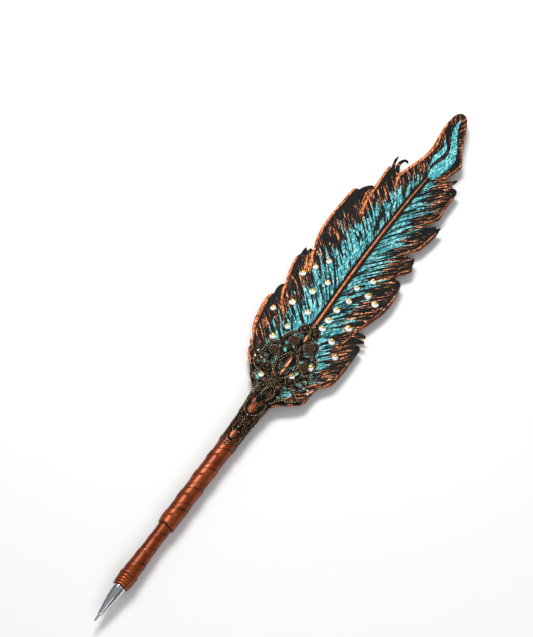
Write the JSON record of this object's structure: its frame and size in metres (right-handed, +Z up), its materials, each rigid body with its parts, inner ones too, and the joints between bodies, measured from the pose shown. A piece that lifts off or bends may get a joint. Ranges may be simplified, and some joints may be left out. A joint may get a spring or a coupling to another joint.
{
  "type": "feather quill pen",
  "caption": "Ball pen with a copper leather wrapped barrel, a screwed metal nose cone and a painted leather feather with bronze filigree at its root.",
  "frame": {"origin": "apex of the writing ball, on the pen's axis", "axes": "+X along the pen from the writing ball towards the feather's tip, +Z up out of the feather's painted face, +Y to the left"},
  "size_m": [0.3224, 0.0527, 0.0114],
  "materials": {
    "ball_carbide": "polished tungsten carbide",
    "point_nickel": "turned nickel silver",
    "refill_plastic": "moulded",
    "refill_tube_clear": "extruded, translucent",
    "blue_ink": "wet ink, as a solid",
    "clear_grease": "follower grease, as a solid",
    "chromed_nose": "turned and chrome plated",
    "brass_insert": "turned and tapped",
    "barrel_plastic": "moulded",
    "spring_wire": "drawn wire",
    "copper_leather": "leather painted metallic copper, semi gloss",
    "painted_leather": "leather painted turquoise, black and copper, semi gloss",
    "backing_leather": "leather painted metallic copper",
    "dark_leather": "cut leather painted black and copper",
    "copper_paint": "leather ridge painted copper",
    "antique_bronze": "cast openwork, antiqued",
    "rubbed_bronze": "cast, high spots rubbed bright",
    "dark_bronze": "domed, satin brown",
    "white_paint": "raised gloss paint dots",
    "gold_paint": "raised metallic paint beads"
  },
  "bodies": {
    "pen": {"thread_insert": "brass_insert", "inner_barrel": "barrel_plastic", "barrel_end_plug": "barrel_plastic", "quill_wire": "spring_wire", "grip_wrap": "copper_leather", "collar_windings": "copper_leather", "barrel_wrap": "copper_leather", "neck_wrap": "copper_leather", "feather_front": "painted_leather", "feather_back": "backing_leather", "feather_wisps": "dark_leather", "quill_ridge": "copper_paint", "filigree_sleeve": "antique_bronze", "filigree_spray": "antique_bronze", "flower_centre": "rubbed_bronze", "bronze_studs": "dark_bronze", "woven_discs": "rubbed_bronze", "paint_dots_white": "white_paint", "paint_dots_gold": "gold_paint"},
    "refill": {"refill_point": "point_nickel", "refill_connector": "refill_plastic", "refill_tube": "refill_tube_clear", "refill_ink": "blue_ink", "refill_grease": "clear_grease", "refill_tail_plug": "refill_plastic"},
    "nose": {"nose_cone": "chromed_nose"},
    "ball": {"writing_ball": "ball_carbide"}
  },
  "joints": [
    {"name": "refill_advance", "type": "slide", "parent": "pen", "child": "refill", "axis": [-1, 0, 0], "range_m": [0, 0.005]},
    {"name": "nose_unscrew", "type": "hinge", "parent": "refill", "child": "nose", "pos_m": [0.0178, 0, 0], "axis": [-1, 0, 0], "range_deg": [0, 1800]},
    {"name": "ball_roll", "type": "hinge", "parent": "refill", "child": "ball", "pos_m": [0.00035, 0, 0], "axis": [0, 1, 0], "continuous": true}
  ],
  "couplings": [
    {"joint": "nose_unscrew", "follows": "refill_advance", "rad_per_m": 6283.2}
  ]
}
